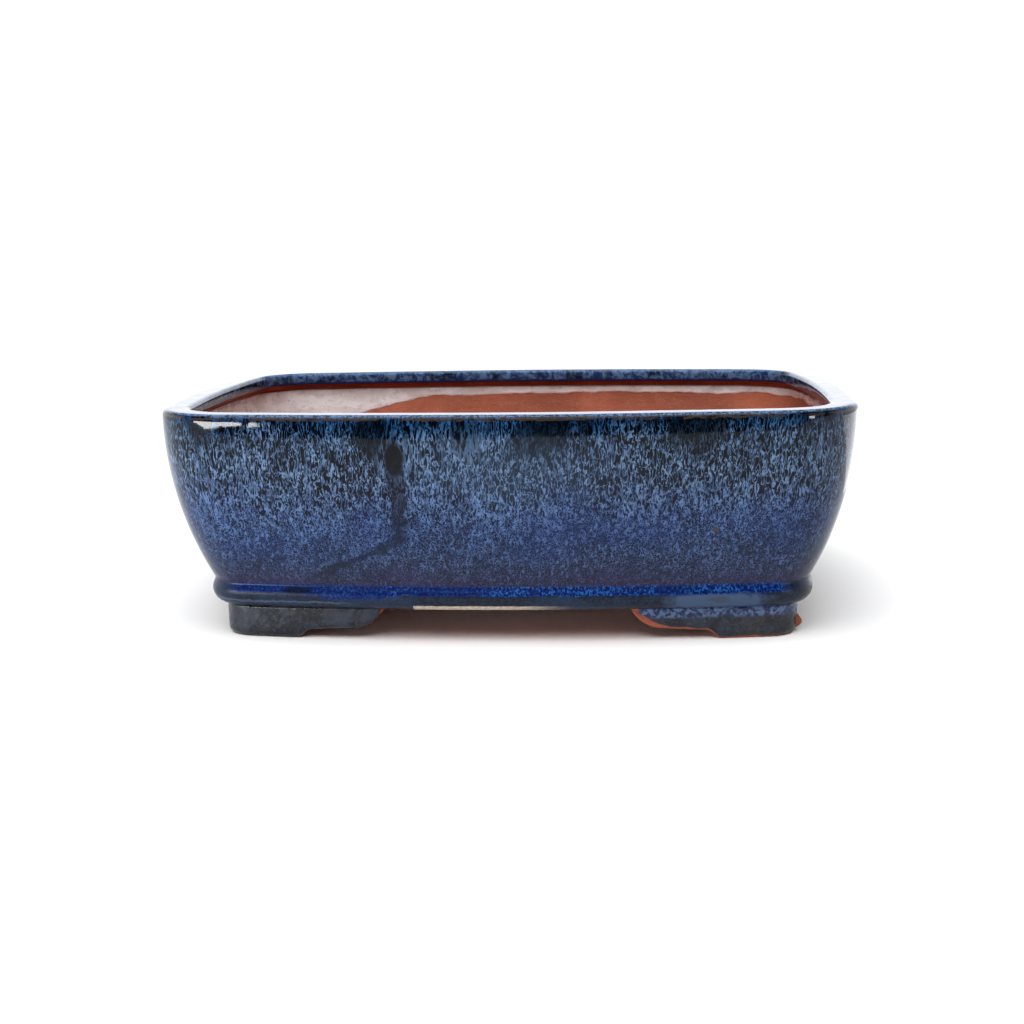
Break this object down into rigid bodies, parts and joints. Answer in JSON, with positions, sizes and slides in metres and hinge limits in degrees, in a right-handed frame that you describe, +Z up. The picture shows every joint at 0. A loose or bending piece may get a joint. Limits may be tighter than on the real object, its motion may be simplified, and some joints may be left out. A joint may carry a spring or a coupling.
{
  "type": "bonsai pot",
  "caption": "Rectangular glazed ceramic bonsai pot with bowed, round-cornered walls, overhanging rim, moulded base band, cloud feet and drain holes.",
  "frame": {"origin": "centre of the pot's footprint, on the surface that it stands on", "axes": "+X along the long side, +Y from front to back, +Z up; the front is -Y"},
  "size_m": [0.3, 0.222, 0.098],
  "materials": {
    "clay": "bare fired red-brown stoneware, matt",
    "blue_glaze": "glossy streaked and speckled navy-to-light-blue glaze",
    "pale_glaze": "thin whitish glaze lap with an uneven edge"
  },
  "bodies": {
    "root": {"floor_slab": "clay", "wall": "clay", "rim_lip": "clay", "base_band": "clay", "seam_coil": "clay", "foot_front_left": "clay", "foot_front_right": "clay", "foot_back_left": "clay", "foot_back_right": "clay", "outer_glaze": "blue_glaze", "inner_glaze_lap": "pale_glaze", "foot_glaze_front_left": "blue_glaze", "foot_glaze_front_right": "blue_glaze", "foot_glaze_back_left": "blue_glaze", "foot_glaze_back_right": "blue_glaze"}
  },
  "joints": []
}
